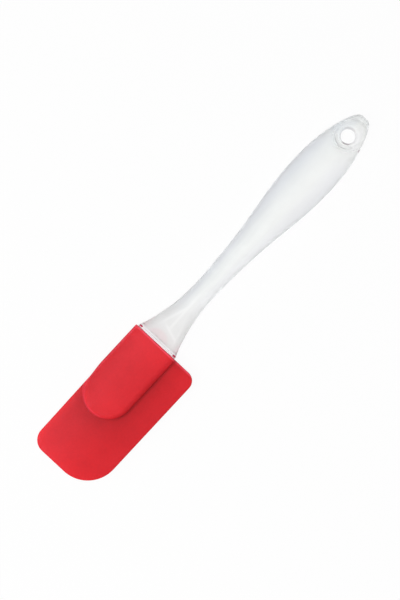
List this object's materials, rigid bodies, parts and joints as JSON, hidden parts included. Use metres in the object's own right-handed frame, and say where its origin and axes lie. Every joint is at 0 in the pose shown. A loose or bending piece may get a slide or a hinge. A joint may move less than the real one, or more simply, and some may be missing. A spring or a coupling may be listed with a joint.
{
  "type": "silicone spatula",
  "caption": "Kitchen spatula: a clear rounded handle with a hanging hole, and a flat silicone blade with uneven rounded corners whose raised socket is pushed onto the handle's tongue.",
  "frame": {"origin": "centre of the hanging hole, at the middle of the handle's thickness", "axes": "+X along the handle towards the head's free edge, +Y towards the wide side of the head, +Z along the hanging hole, square to the flat of the head"},
  "size_m": [0.2501, 0.0444, 0.0156],
  "materials": {
    "handle_plastic": "clear moulded plastic with a fine satin haze",
    "head_silicone": "matte red silicone"
  },
  "bodies": {
    "handle_body": {"handle": "handle_plastic"},
    "head_body": {"head": "head_silicone"}
  },
  "joints": [
    {"name": "head_pull_off", "type": "slide", "parent": "handle_body", "child": "head_body", "axis": [1, 0, 0], "range_m": [0, 0.055]}
  ]
}
